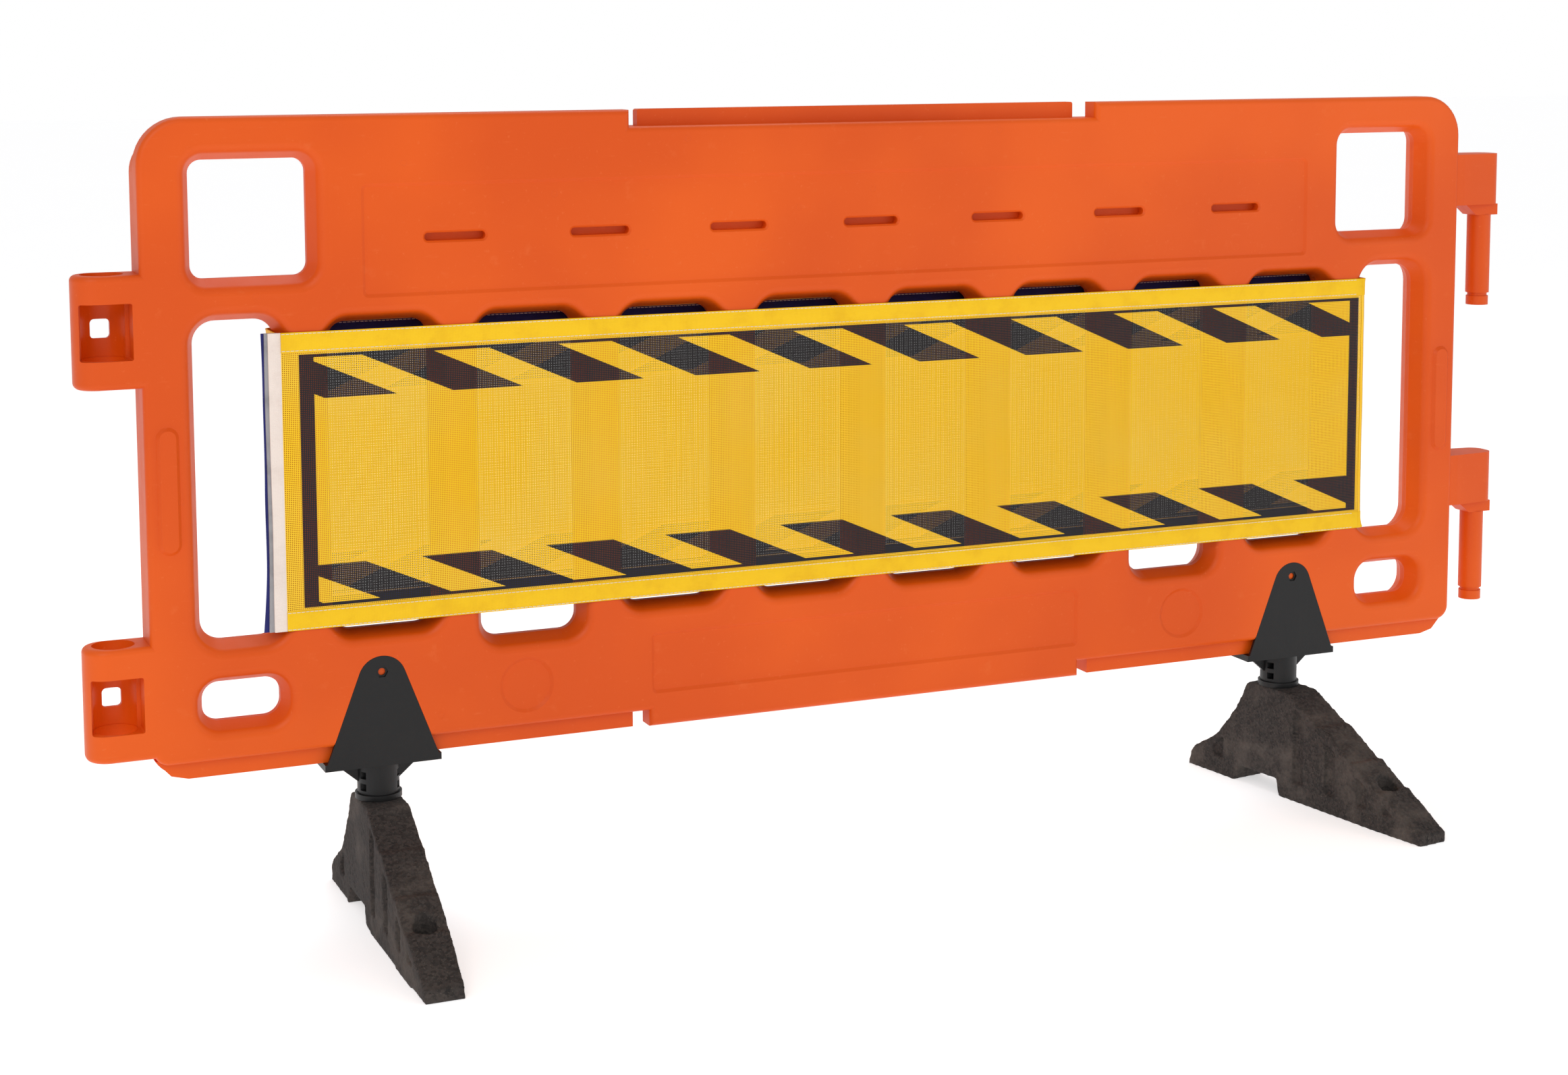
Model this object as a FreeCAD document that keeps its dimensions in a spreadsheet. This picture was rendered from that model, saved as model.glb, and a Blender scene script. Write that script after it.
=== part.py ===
import FreeCAD, Part
import Sketcher
import math
import os

# A free-standing pedestrian barrier: one hollow blow-moulded panel that hooks to the next one, two saddle
# brackets, two rubber feet that turn under them, and a mesh cover strapped round the middle of the panel.
# Frame: +X along the barrier towards its hook pins, the front faces -Y, +Z up, the origin on the ground,
# midway along the panel and midway between the heels and toes of the feet. Millimetres.

SIZES = {
    # Panel outline; heights are above the ground
    "panel_length": 1885,
    "panel_depth": 61,
    "panel_top": 1000,
    "panel_bottom": 230,
    "panel_wall": 4,
    "corner_radius": 57,
    "rear_corner_radius": 44,
    "base_corner_radius": 20,
    "edge_radius": 7,
    # Stacking lips: the front one is high at the ends, and a tongue stands behind it in the middle
    "lip_height": 21,
    "lip_half_span": 335,
    "tongue_half_span": 315,
    "tongue_depth": 15,
    "lip_end_radius": 42,
    "lip_forward": 18,
    "skirt_half_span": 315,
    "tongue_root": 10,
    "tongue_round": 3,
    # Mouths of the through openings
    "mouth_flare": 11,
    "mouth_depth": 26,
    "mouth_radius": 12,
    # Openings near the ends
    "end_hole_inner": 740,
    "end_hole_outer": 880,
    "end_hole_bottom": 808,
    "end_hole_top": 949,
    "end_hole_radius": 16,
    "tall_slot_inner": 781,
    "tall_slot_outer": 880,
    "tall_slot_bottom": 372,
    "tall_slot_top": 758,
    "tall_slot_radius": 27,
    "low_slot_inner": 785,
    "low_slot_outer": 880,
    "low_slot_bottom": 273,
    "low_slot_top": 321,
    "low_slot_radius": 20,
    # Row of openings between the bars
    "bar_pitch": 187.3,
    "bar_width": 62,
    "window_bottom": 370,
    "window_low_bottom": 343,
    "window_top": 750,
    "window_radius": 22,
    # Shallow panels and marks pressed into both faces
    "press_depth": 2.6,
    "name_half_length": 679,
    "name_bottom": 779,
    "name_top": 917,
    "plate_half_length": 313,
    "plate_bottom": 252,
    "plate_top": 332,
    "press_radius": 8,
    "press_angle": 58,
    "disc_offset": 480,
    "disc_height": 282,
    "disc_radius": 35.5,
    "slot_height": 850,
    "slot_length": 77,
    "slot_width": 10,
    "slot_depth": 18,
    "slot_bevel": 2.5,
    "slot_bevel_angle": 45,
    "rib_offset": 916,
    "rib_width": 27,
    "rib_bottom": 484,
    "rib_top": 637,
    "rib_rise": 4,
    "rib_angle": 45,
    "pill_flat": 0.2,
    # Socket lugs at the -X end
    "lug_reach": 75,
    "lug_round": 27,
    "lug_upper_bottom": 684,
    "lug_upper_top": 818,
    "lug_lower_bottom": 240,
    "lug_lower_top": 377,
    "socket_offset": 39,
    "socket_radius": 25,
    "socket_relief": 0.6,
    "lug_window_width": 60,
    "lug_window_height": 67,
    "lug_window_rise": 34,
    "lug_peep_size": 23,
    "lug_peep_radius": 5,
    # Hook lugs and pins at the +X end
    "hook_reach": 82,
    "hook_upper_bottom": 841,
    "hook_upper_top": 915,
    "hook_drop": 442,
    "hook_root_depth": 56,
    "hook_root_reach": 12,
    "hook_nose_radius": 21,
    "hook_nose_round": 16.8,
    "hook_throat": 16,
    "hook_throat_run": 19.2,
    "hook_throat_width": 31.5,
    "pin_offset": 61,
    "pin_radius": 17,
    "pin_length": 115,
    "pin_neck_radius": 14,
    "pin_neck_length": 5,
    "pin_ball_radius": 16,
    "pin_ball_length": 13,
    # Saddle brackets
    "bracket_offset": 665,
    "bracket_bottom": 200,
    "bracket_height": 138,
    "bracket_width": 146,
    "bracket_nose_radius": 30,
    "bracket_plate": 4,
    "bracket_floor": 8.7,
    "bracket_fit": 0.3,
    "bolt_hole_radius": 4.5,
    "bolt_drop": 20,
    "nut_recess_width": 13,
    "nut_recess_depth": 2,
    "gusset_half_width": 54,
    "gusset_drop": 38,
    "gusset_thickness": 5,
    "gusset_foot": 10,
    "gusset_notch": 4,
    "post_radius": 26,
    "collar_radius": 29,
    "collar_height": 7,
    "spigot_radius": 21.95,
    "spigot_wall": 5,
    "spigot_length": 70,
    "bead_radius": 23.2,
    "bead_height": 5,
    "bead_rise": 4,
    "post_window_height": 9,
    "post_window_width": 9,
    "post_window_inner": 8,
    "post_window_first": 10,
    "post_window_pitch": 15,
    # Rubber feet
    "foot_height": 154,
    "foot_width": 54,
    "toe_reach": 308,
    "toe_height": 14,
    "toe_rake": 2,
    "toe_round": 3,
    "toe_width": 47,
    "heel_reach": 162,
    "heel_height": 27,
    "heel_step": 8,
    "heel_rake": 2,
    "heel_round": 6,
    "crown_back": 35,
    "crown_front": 50,
    "crown_back_round": 14,
    "crown_front_round": 8,
    "scallop_rise": 4,
    "scallop_run": 6,
    "scallop_dip": 1,
    "scallop_round": 9,
    "arch_back": 62,
    "arch_front": 31,
    "arch_height": 24,
    "arch_lean": 11,
    "arch_front_lean": 4,
    "pocket_width": 21,
    "pocket_depth": 6,
    "pocket_bottom": 26,
    "pocket_land": 12,
    "pocket_angle": 15,
    "heel_pocket_rise": 26,
    "heel_pocket_slant": 8,
    "peg_offset": 222,
    "peg_radius": 14,
    "socket_gap": 0.05,
    "bead_gap": 0.3,
    "foot_gap": 0.3,
    "left_foot_turn": -1,
    "right_foot_turn": 8,
    # Mesh cover
    "cover_left": 780,
    "cover_right": 782,
    "cover_bottom": 380,
    "cover_top": 742,
    "cover_gap": 0.5,
    "mesh_thickness": 1,
    "hem_width": 24,
    "hem_thickness": 2,
    "strip_width": 15,
    "strip_thickness": 2.5,
    "strip_step": 4,
    "binding_thickness": 1,
    # How far a cut runs on past the surface it opens
    "cut_past": 2,
}

# Distance of each side pocket of a foot from the pivot, towards the toe
POCKETS = {"heel": -97, "one": 72, "two": 136, "three": 198, "four": 247}
for pocket, distance in POCKETS.items():
    SIZES[f"pocket_place_{pocket}"] = distance
# Where the scallops of a foot's long slope end, counted from the crown's front edge
SCALLOPS = {"one": 63, "two": 128, "three": 179}
for scallop, distance in SCALLOPS.items():
    SIZES[f"scallop_end_{scallop}"] = distance
# Corners of a foot's heel curve from the crown down: share of the way out, share of the way down, radius
HEEL_CURVE = {"high": (0.2, 0.36, 20), "middle": (0.52, 0.74, 40), "low": (0.9, 0.97, 8)}
for corner, (share_out, share_down, curve) in HEEL_CURVE.items():
    SIZES[f"heel_{corner}_out"], SIZES[f"heel_{corner}_down"] = share_out, share_down
    SIZES[f"heel_{corner}_curve"] = curve

WINDOWS = 8
SLOTS_EACH_SIDE = 3

document = FreeCAD.newDocument("Barrier")
sheet = document.addObject("Spreadsheet::Sheet", "Sizes")
for row, (name, value) in enumerate(SIZES.items(), 1):
    sheet.set(f"A{row}", name)
    sheet.set(f"B{row}", str(value))
    sheet.setAlias(f"B{row}", name)
document.recompute()


class Size:
    # A number worked out from the sheet, with the expression that keeps a property bound to it
    def __init__(self, value, text):
        self.value = value
        self.text = text

    def __add__(self, other):
        other = as_size(other)
        return Size(self.value + other.value, f"({self.text} + {other.text})")

    def __sub__(self, other):
        other = as_size(other)
        return Size(self.value - other.value, f"({self.text} - {other.text})")

    def __mul__(self, other):
        other = as_size(other)
        return Size(self.value * other.value, f"({self.text} * {other.text})")

    def __truediv__(self, other):
        other = as_size(other)
        return Size(self.value / other.value, f"({self.text} / {other.text})")

    def __rsub__(self, other):
        return as_size(other) - self

    def __neg__(self):
        return Size(-self.value, f"(-1 * {self.text})")

    __radd__ = __add__
    __rmul__ = __mul__


def as_size(thing):
    return thing if isinstance(thing, Size) else Size(float(thing), repr(float(thing)))


def root(amount):
    return Size(math.sqrt(amount.value), f"sqrt({amount.text})")


def slope_angle(rise, run):
    return Size(math.degrees(math.atan2(rise.value, run.value)), f"atan({rise.text} / {run.text})")


def size(name):
    return Size(float(getattr(sheet, name)), f"Sizes.{name}")


ZERO = as_size(0)
ENDS = {"left": -1, "right": 1}
half_length = size("panel_length") / 2
half_depth = size("panel_depth") / 2
front_plane = size("toe_reach") / 2 - size("heel_reach") / 2


def bind(thing, name, value):
    thing.setExpression(name, value.text)


def new_body(name):
    return document.addObject("PartDesign::Body", name)


def new_sketch(body, role, shift=ZERO):
    sketch = body.newObject("Sketcher::SketchObject", f"{body.Name}_sketch")
    plane = next(f for f in body.Origin.OriginFeatures if f.Role == role)
    sketch.AttachmentSupport = [(plane, "")]
    sketch.MapMode = "FlatFace"
    sketch.AttachmentOffset = FreeCAD.Placement(FreeCAD.Vector(0, 0, shift.value), FreeCAD.Rotation())
    bind(sketch, "AttachmentOffset.Base.z", shift)
    return sketch


# Rules gathered for one sketch and added together; each may carry the size that drives it
class Rules:
    def __init__(self, sketch):
        self.sketch = sketch
        self.rules = []
        self.driven = {}

    def add(self, kind, *where, value=None):
        if value is not None:
            self.driven[len(self.rules)] = value
            where = (*where, value.value)
        self.rules.append(Sketcher.Constraint(kind, *where))

    def hold_point(self, element, end, x, y):
        self.add("DistanceX", -1, 1, element, end, value=x)
        self.add("DistanceY", -1, 1, element, end, value=y)

    def apply(self):
        first = self.sketch.ConstraintCount
        self.sketch.addConstraint(self.rules)
        for index, value in self.driven.items():
            bind(self.sketch, f"Constraints[{first + index}]", value)


# Draws a closed outline through corners given as (x, y) or (x, y, radius of the rounded corner)
def outline(sketch, corners):
    corners = [tuple(as_size(c) for c in corner) for corner in corners]
    count = len(corners)
    points = [FreeCAD.Vector(c[0].value, c[1].value, 0) for c in corners]
    starts, ends, middles = [], [], []
    for i, corner in enumerate(corners):
        here, before, after = points[i], points[i - 1], points[(i + 1) % count]
        back, forth = (before - here).normalize(), (after - here).normalize()
        half_turn = back.getAngle(forth) / 2
        radius = corner[2].value if len(corner) > 2 else 0
        run = radius / math.tan(half_turn)
        starts.append(here + forth * run)
        ends.append(here + back * run)
        inward = (back + forth).normalize()
        middles.append(here + inward * (radius / math.sin(half_turn) - radius))
    lines = []
    for i in range(count):
        lines.append(sketch.addGeometry(Part.LineSegment(starts[i], ends[(i + 1) % count])))
    rules = Rules(sketch)
    for i, corner in enumerate(corners):
        before, after = lines[i - 1], lines[i]
        if len(corner) == 2:
            rules.add("Coincident", before, 2, after, 1)
            rules.hold_point(after, 1, corner[0], corner[1])
            continue
        arc = sketch.addGeometry(Part.Arc(ends[i], middles[i], starts[i]))
        to_first, to_last = [(sketch.getPoint(arc, end) - ends[i]).Length for end in (1, 2)]
        first, last = (1, 2) if to_first < to_last else (2, 1)
        rules.add("Tangent", before, 2, arc, first)
        rules.add("Tangent", arc, last, after, 1)
        rules.add("Radius", arc, value=corner[2])
        point = sketch.addGeometry(Part.Point(points[i]), True)
        rules.add("PointOnObject", point, 1, before)
        rules.add("PointOnObject", point, 1, after)
        rules.hold_point(point, 1, corner[0], corner[1])
    rules.apply()


def circle(sketch, x, y, radius):
    element = sketch.addGeometry(
        Part.Circle(FreeCAD.Vector(x.value, y.value, 0), FreeCAD.Vector(0, 0, 1), radius.value)
    )
    rules = Rules(sketch)
    rules.hold_point(element, 3, x, y)
    rules.add("Radius", element, value=radius)
    rules.apply()


def box_corners(left, right, bottom, top, radius):
    return [(left, bottom, radius), (right, bottom, radius), (right, top, radius), (left, top, radius)]


# Sets up a pad or a pocket; both kinds of feature share these properties
def extrude(body, kind, sketch, length, both=False, reverse=False, taper=None, refine=False):
    feature = body.newObject(f"PartDesign::{kind}", f"{body.Name}_{kind.lower()}")
    feature.Profile = sketch
    feature.Refine = refine
    feature.SideType = "Symmetric" if both else "One side"
    feature.Reversed = reverse
    bind(feature, "Length", length)
    if taper is not None:
        bind(feature, "TaperAngle", taper)
    sketch.Visibility = False
    return feature


def mirror(body, features, role):
    feature = body.newObject("PartDesign::Mirrored", f"{body.Name}_mirror")
    feature.Originals = features
    feature.Refine = False
    feature.MirrorPlane = (next(f for f in body.Origin.OriginFeatures if f.Role == role), [""])
    body.Tip = feature
    return feature


def round_edges(body, radius, wanted):
    document.recompute()
    base = body.Tip
    names = [f"Edge{i}" for i, edge in enumerate(base.Shape.Edges, 1) if wanted(edge)]
    feature = body.newObject("PartDesign::Fillet", f"{body.Name}_round")
    feature.Base = (base, names)
    bind(feature, "Radius", radius)
    return feature


def lies_at(edge, axis, value, slack=0.01):
    box = edge.BoundBox
    low, high = {"x": (box.XMin, box.XMax), "y": (box.YMin, box.YMax), "z": (box.ZMin, box.ZMax)}[axis]
    return abs(low - value) < slack and abs(high - value) < slack


# Openings at the +X end as (left, right, bottom, top, corner radius); the -X end mirrors them
def end_openings():
    for name in ("end_hole", "tall_slot", "low_slot"):
        low, high, radius = size(f"{name}_bottom"), size(f"{name}_top"), size(f"{name}_radius")
        yield size(f"{name}_inner"), size(f"{name}_outer"), low, high, radius


# The window at one place in the row of eight, counted from the -X end
def window(place, low, high):
    half = (size("bar_pitch") - size("bar_width")) / 2
    centre = size("bar_pitch") * (place - (WINDOWS - 1) / 2)
    return centre - half, centre + half, low, high, size("window_radius")


def bracket_corners(grow):
    half = size("bracket_width") / 2 + grow
    radius = size("bracket_nose_radius") + grow
    rise = size("bracket_height") - size("bracket_nose_radius")
    share = 1 - radius * radius / (half * half)
    apex = (rise + root(rise * rise - share * (rise * rise - radius * radius))) / share
    return half, apex, radius


# One half of the moulding's outline, seen from the front, drawn inset from the true outline
def front_outline(inset):
    side, span, skirt_span = half_length - inset, size("lip_half_span"), size("skirt_half_span") - inset
    top, bottom = size("panel_top") - inset, size("panel_bottom") + inset
    ledge, skirt = top - size("lip_height"), bottom - size("lip_height")
    high, low = size("corner_radius") - inset, size("base_corner_radius") - inset
    return [
        (-side, bottom, low), (-skirt_span, bottom), (-skirt_span, skirt), (skirt_span, skirt),
        (skirt_span, bottom), (side, bottom, low), (side, top, high), (span + inset, top),
        (span + inset, ledge), (-span - inset, ledge), (-span - inset, top), (-side, top, high),
    ]


def rear_outline(inset):
    side, span = half_length - inset, size("lip_half_span")
    top, bottom = size("panel_top") - size("lip_height") - inset, size("panel_bottom") + inset
    skirt, low = bottom - size("lip_height"), size("lip_end_radius") - inset
    high = size("rear_corner_radius") - inset
    return [
        (-side, skirt, low), (-span - inset, skirt), (-span - inset, bottom), (span + inset, bottom),
        (span + inset, skirt), (side, skirt, low), (side, top, high), (-side, top, high),
    ]


# Cuts openings with flared mouths on both faces, and returns the three pockets that make them
def cut_flared(body, openings, inset):
    grown = inset + size("mouth_flare")
    straight = new_sketch(body, "XZ_Plane")
    mouths = [new_sketch(body, "XZ_Plane", face) for face in (half_depth - inset, inset - half_depth)]
    for left, right, low, high, radius in openings:
        edges = box_corners(left - inset, right + inset, low - inset, high + inset, radius + inset)
        outline(straight, edges)
        for mouth in mouths:
            edges = box_corners(left - grown, right + grown, low - grown, high + grown, radius + grown)
            outline(mouth, edges)
    taper = -slope_angle(size("mouth_flare"), size("mouth_depth"))
    pockets = [extrude(body, "Pocket", straight, size("panel_depth") * 2, both=True)]
    for mouth, back in zip(mouths, (False, True)):
        pockets.append(extrude(body, "Pocket", mouth, size("mouth_depth"), reverse=back, taper=taper))
    return pockets


def cut_openings(body, inset):
    mirror(body, cut_flared(body, list(end_openings()), inset), "YZ_Plane")
    row = cut_flared(body, [window(0, size("window_bottom"), size("window_top"))], inset)
    pattern = body.newObject("PartDesign::LinearPattern", f"{body.Name}_row")
    pattern.Originals = row
    pattern.Refine = False
    pattern.Direction = (next(f for f in body.Origin.OriginFeatures if f.Role == "X_Axis"), [""])
    pattern.Mode = "Spacing"
    bind(pattern, "Offset", size("bar_pitch"))
    pattern.Occurrences = WINDOWS
    body.Tip = pattern
    middle = (size("window_bottom") + size("window_top")) / 2
    mirror(body, cut_flared(body, [window(1, size("window_low_bottom"), middle)], inset), "YZ_Plane")


# Everything that is pressed into the faces: shallow panels, discs, strap slots and bracket seats
def press_faces(body, inset):
    face, pill_flat = half_depth - inset, size("pill_flat")
    shallow = new_sketch(body, "XZ_Plane", face)
    for half, low, high in (("name_half_length", "name_bottom", "name_top"),
                            ("plate_half_length", "plate_bottom", "plate_top")):
        outline(shallow, box_corners(
            -size(half) - inset, size(half) + inset, size(low) - inset, size(high) + inset,
            size("press_radius") + inset))
    for side in ENDS.values():
        circle(shallow, size("disc_offset") * side, size("disc_height"), size("disc_radius") + inset)
    pressed = [extrude(body, "Pocket", shallow, size("press_depth"), taper=-size("press_angle"))]

    deep = new_sketch(body, "XZ_Plane", face)
    bevel = new_sketch(body, "XZ_Plane", face - size("press_depth"))
    for place in range(-SLOTS_EACH_SIDE, SLOTS_EACH_SIDE + 1):
        for sketch, grow in ((deep, inset), (bevel, inset + size("slot_bevel"))):
            half_long, half_wide = size("slot_length") / 2 + grow, size("slot_width") / 2 + grow
            middle, height = size("bar_pitch") * place, size("slot_height")
            outline(sketch, box_corners(
                middle - half_long, middle + half_long, height - half_wide, height + half_wide,
                half_wide - pill_flat))
    pressed.append(extrude(body, "Pocket", deep, size("slot_depth")))
    pressed.append(extrude(body, "Pocket", bevel, size("slot_bevel"), taper=-size("slot_bevel_angle")))

    seat = new_sketch(body, "XZ_Plane", face)
    half, apex, radius = bracket_corners(size("bracket_fit") + inset)
    base = size("bracket_bottom")
    for side in ENDS.values():
        centre = size("bracket_offset") * side
        outline(seat, [(centre - half, base), (centre + half, base), (centre, base + apex, radius)])
    pressed.append(extrude(body, "Pocket", seat, size("bracket_plate") + size("bracket_fit")))
    mirror(body, pressed, "XZ_Plane")


# The hollow crosses the mid-plane only where both halves are present, so every lip has a closed wall
def cavity():
    body, inset = new_body("cavity"), size("panel_wall")
    side, bottom = half_length - inset, size("panel_bottom") + inset
    top = size("panel_top") - size("lip_height") - inset
    low, high = size("base_corner_radius") - inset, size("rear_corner_radius") - inset
    shared = new_sketch(body, "XZ_Plane")
    outline(shared, [(-side, bottom, low), (side, bottom, low), (side, top, high), (-side, top, high)])
    extrude(body, "Pad", shared, inset * 2, both=True)
    for corners, back in ((front_outline(inset), False), (rear_outline(inset), True)):
        sketch = new_sketch(body, "XZ_Plane", -inset if back else inset)
        outline(sketch, corners)
        extrude(body, "Pad", sketch, half_depth - inset * 2, reverse=back)
    cut_openings(body, inset)
    press_faces(body, inset)
    return body


# Lug with a vertical socket for the next barrier's pin; its window shows the pin and a peep hole
def socket_lugs(body):
    reach = half_length + size("lug_reach")
    for level in ("upper", "lower"):
        low, high = size(f"lug_{level}_bottom"), size(f"lug_{level}_top")
        block = new_sketch(body, "XY_Plane", low)
        root_x = size("end_hole_outer") + size("mouth_flare") * 2
        outline(block, [
            (-reach, -half_depth, size("lug_round")), (-root_x, -half_depth),
            (-root_x, half_depth), (-reach, half_depth, size("lug_round"))])
        extrude(body, "Pad", block, high - low, refine=True)


def cut_sockets(body):
    centre, past = -half_length - size("socket_offset"), size("cut_past")
    half_wide, half_peep = size("lug_window_width") / 2, size("lug_peep_size") / 2
    for level in ("upper", "lower"):
        low, high = size(f"lug_{level}_bottom"), size(f"lug_{level}_top")
        bore = new_sketch(body, "XY_Plane", low - past)
        circle(bore, centre, ZERO, size("socket_radius"))
        extrude(body, "Pocket", bore, high - low + past * 2, reverse=True)
        sill = low + size("lug_window_rise")
        opening = new_sketch(body, "XZ_Plane", half_depth)
        outline(opening, box_corners(
            centre - half_wide, centre + half_wide, sill, sill + size("lug_window_height"),
            size("lug_peep_radius") / 2))
        extrude(body, "Pocket", opening, half_depth)
        relief = new_sketch(body, "XY_Plane", sill)
        circle(relief, centre, ZERO, size("socket_radius") + size("socket_relief"))
        extrude(body, "Pocket", relief, size("lug_window_height"), reverse=True)
        peep = new_sketch(body, "XZ_Plane")
        middle = sill + size("lug_window_height") / 2
        outline(peep, box_corners(
            centre - half_peep, centre + half_peep, middle - half_peep, middle + half_peep,
            size("lug_peep_radius")))
        extrude(body, "Pocket", peep, half_depth + past)


# Hook block: full depth at the panel, narrowing to a round nose above the pin
def hook_blocks(body):
    nose = half_length + size("pin_offset")
    tip = half_length + size("hook_reach")
    root_x = size("end_hole_outer") + size("mouth_flare") * 2
    shoulder, throat_run = half_length + size("hook_root_reach"), size("hook_throat_run")
    nose_round = size("hook_nose_round")
    for drop in (ZERO, size("hook_drop")):
        low, high = size("hook_upper_bottom") - drop, size("hook_upper_top") - drop
        block = new_sketch(body, "XY_Plane", low)
        half_root, half_nose = size("hook_root_depth") / 2, size("hook_nose_radius")
        outline(block, [
            (root_x, -half_root), (shoulder, -half_root), (tip, -half_nose, nose_round),
            (tip, half_nose, nose_round), (shoulder, half_root), (root_x, half_root)])
        extrude(body, "Pad", block, high - low)
        throat = new_sketch(body, "XZ_Plane")
        shank_top = low - size("hook_throat")
        inner = nose - size("pin_radius") - throat_run
        outline(throat, [(inner, low), (tip, low), (tip, shank_top), (inner + throat_run, shank_top)])
        extrude(body, "Pad", throat, size("hook_throat_width"), both=True)
        shank = new_sketch(body, "XY_Plane", shank_top)
        circle(shank, nose, ZERO, size("pin_radius"))
        extrude(body, "Pad", shank, size("pin_length"), reverse=True)
        neck = new_sketch(body, "XY_Plane", shank_top - size("pin_length"))
        circle(neck, nose, ZERO, size("pin_neck_radius"))
        extrude(body, "Pad", neck, size("pin_neck_length"), reverse=True)
        under = shank_top - size("pin_length") - size("pin_neck_length")
        ball = new_sketch(body, "XY_Plane", under)
        circle(ball, nose, ZERO, size("pin_ball_radius"))
        extrude(body, "Pad", ball, size("pin_ball_length"), reverse=True)


def skin():
    body = new_body("skin")
    for corners, back in ((front_outline(ZERO), False), (rear_outline(ZERO), True)):
        sketch = new_sketch(body, "XZ_Plane")
        outline(sketch, corners)
        extrude(body, "Pad", sketch, half_depth, reverse=back, refine=True)
    socket_lugs(body)
    front, rear = -half_depth.value, half_depth.value
    round_edges(body, size("edge_radius"), lambda e: lies_at(e, "y", front) or lies_at(e, "y", rear))
    cut_openings(body, ZERO)
    lowest_mouth = size("low_slot_bottom").value - size("mouth_flare").value - 1
    highest_mouth = size("end_hole_top").value + size("mouth_flare").value + 1

    def is_mouth(edge):
        box = edge.BoundBox
        widest = size("end_hole_outer").value + size("mouth_flare").value + 1
        inside = box.ZMin > lowest_mouth and box.ZMax < highest_mouth
        inside = inside and max(abs(box.XMin), abs(box.XMax)) < widest
        return inside and (lies_at(edge, "y", front) or lies_at(edge, "y", rear))

    round_edges(body, size("mouth_radius"), is_mouth)
    press_faces(body, ZERO)

    tongue = new_sketch(body, "XZ_Plane")
    ledge = size("panel_top") - size("lip_height")
    half = size("tongue_half_span")
    tongue_base, tongue_round = ledge - size("tongue_root"), size("tongue_round")
    outline(tongue, [
        (-half, tongue_base), (half, tongue_base), (half, size("panel_top"), tongue_round),
        (-half, size("panel_top"), tongue_round)])
    extrude(body, "Pad", tongue, size("tongue_depth"), reverse=True)

    lips = new_sketch(body, "XZ_Plane")
    skirt, radius = size("panel_bottom") - size("lip_height"), size("lip_end_radius")
    inner, rise = size("lip_half_span"), size("lip_height") + size("panel_wall")

    def lip_end(height):
        fall = radius - height
        return half_length - radius + root(radius * radius - fall * fall)

    quarter = size("lip_height") / 4
    for side in ENDS.values():
        outline(lips, [
            (lip_end(rise) * side, skirt + rise), (lip_end(quarter) * side, skirt + quarter),
            (lip_end(ZERO) * side, skirt), (inner * side, skirt), (inner * side, skirt + rise)])
    extrude(body, "Pad", lips, size("lip_forward"))

    rib = new_sketch(body, "XZ_Plane", half_depth)
    half_rib, pill_flat = size("rib_width") / 2, size("pill_flat")
    for side in ENDS.values():
        centre = size("rib_offset") * side
        outline(rib, box_corners(
            centre - half_rib, centre + half_rib, size("rib_bottom"), size("rib_top"), half_rib - pill_flat))
    raised = extrude(body, "Pad", rib, size("rib_rise"), taper=-size("rib_angle"))
    mirror(body, [raised], "XZ_Plane")
    cut_sockets(body)
    hook_blocks(body)
    return body


def stand(thing, x=ZERO, turn=ZERO):
    bind(thing, "Placement.Base.x", x)
    bind(thing, "Placement.Base.y", front_plane)
    thing.Placement.Rotation = FreeCAD.Rotation(FreeCAD.Vector(0, 0, 1), turn.value)
    if turn.text != ZERO.text:
        bind(thing, "Placement.Rotation.Angle", turn)


def barrier_panel():
    cut = document.addObject("Part::Cut", "barrier_panel")
    cut.Base, cut.Tool = skin(), cavity()
    stand(cut)
    return cut


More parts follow.
